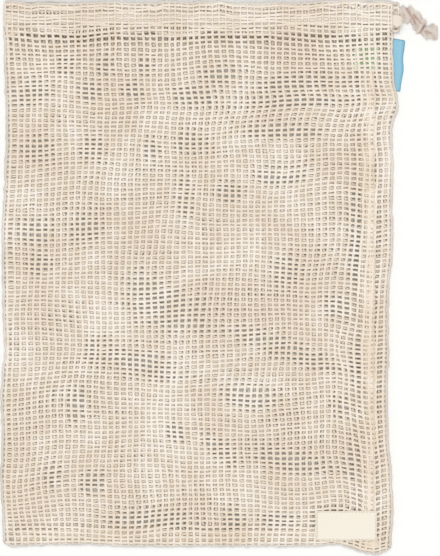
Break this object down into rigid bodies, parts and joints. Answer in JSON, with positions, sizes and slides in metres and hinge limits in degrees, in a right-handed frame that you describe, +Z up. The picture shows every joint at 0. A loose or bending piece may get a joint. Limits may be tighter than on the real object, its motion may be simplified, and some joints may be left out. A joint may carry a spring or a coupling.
{
  "type": "reusable produce bag",
  "caption": "Drawstring produce bag of natural cotton net, empty and lying flat, with a folded hem that carries a soft tape, turned-in seams and small sewn labels.",
  "frame": {"origin": "on the floor under the middle of the lying bag, on its flat underside", "axes": "+Z up from the floor through the two layers, +Y from the closed bottom to the mouth, +X to the edge beside the side seam"},
  "size_m": [0.3464, 0.4368, 0.0111],
  "materials": {
    "net_cotton": "open leno net of unbleached cotton yarn, matt",
    "tape_cotton": "soft plain-woven cotton tape, matt",
    "label_cotton": "fine cotton label cloth, matt",
    "label_satin": "thin satin ribbon label, soft sheen",
    "tag_satin": "woven satin tag, soft sheen"
  },
  "bodies": {
    "root": {"net_pouch": "net_cotton", "drawstring_casing": "net_cotton", "drawstring": "tape_cotton", "side_seam_allowance": "net_cotton", "bottom_seam_allowance": "net_cotton", "patch_label": "label_cotton", "inner_label": "label_satin", "side_tag": "tag_satin"}
  },
  "joints": []
}
